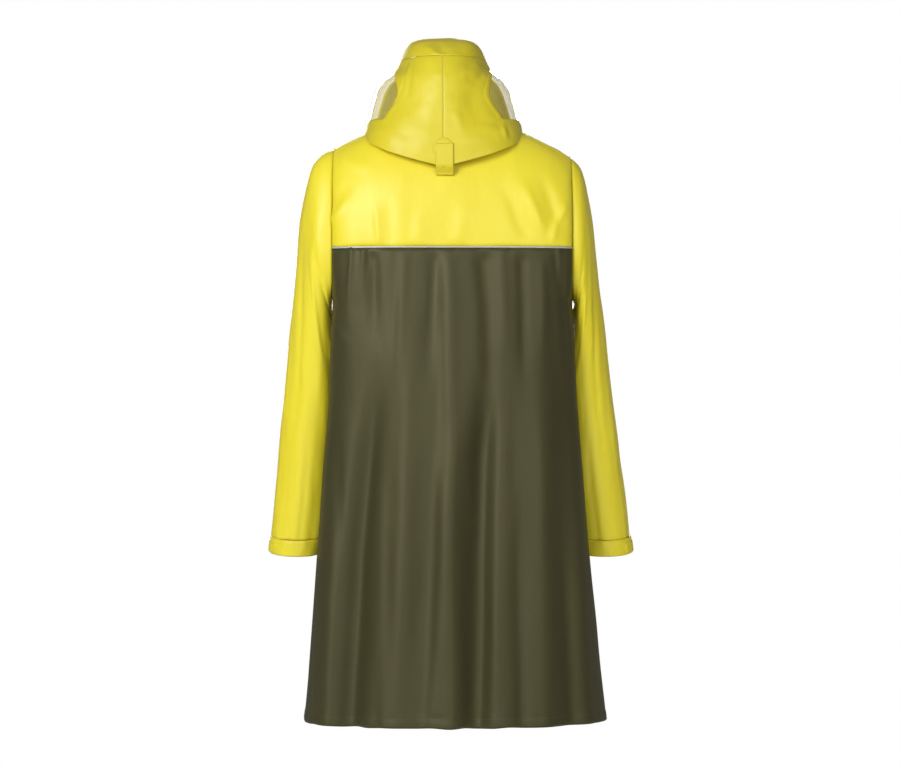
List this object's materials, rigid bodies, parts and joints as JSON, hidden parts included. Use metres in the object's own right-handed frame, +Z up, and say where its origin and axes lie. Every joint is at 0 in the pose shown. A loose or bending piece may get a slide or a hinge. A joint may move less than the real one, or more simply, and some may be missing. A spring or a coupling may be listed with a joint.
{
  "type": "rain poncho",
  "caption": "Hooded rain poncho with sleeves, a two-coloured body flaring to the hem, clear side windows in the hood and a hanging loop at the neck, shaped as worn.",
  "frame": {"origin": "inside the garment at the base of the neck, midway between the shoulders, where a wearer carries it", "axes": "+Z up along the body, the front faces -Y, the wearer's left is +X"},
  "size_m": [0.6637, 0.3714, 1.2253],
  "materials": {
    "yellow_cloth": "coated cloth, soft sheen",
    "olive_cloth": "coated cloth, soft sheen",
    "reflective_piping": "silver-grey reflective tape",
    "clear_film": "clear soft film"
  },
  "bodies": {
    "root": {"hood_top": "yellow_cloth", "hood_back_left": "yellow_cloth", "hood_back_right": "yellow_cloth", "hood_window_left": "clear_film", "hood_window_right": "clear_film", "hood_face_band_left": "yellow_cloth", "hood_face_band_right": "yellow_cloth", "hood_tab": "yellow_cloth", "hood_tab_patch": "yellow_cloth", "back_yoke": "yellow_cloth", "front_yoke": "yellow_cloth", "piping": "reflective_piping", "back_panel": "olive_cloth", "front_panel": "olive_cloth", "sleeve_left": "yellow_cloth", "sleeve_right": "yellow_cloth", "cuff_left": "yellow_cloth", "cuff_right": "yellow_cloth", "cuff_tab_left": "yellow_cloth", "cuff_tab_right": "yellow_cloth"}
  },
  "joints": []
}
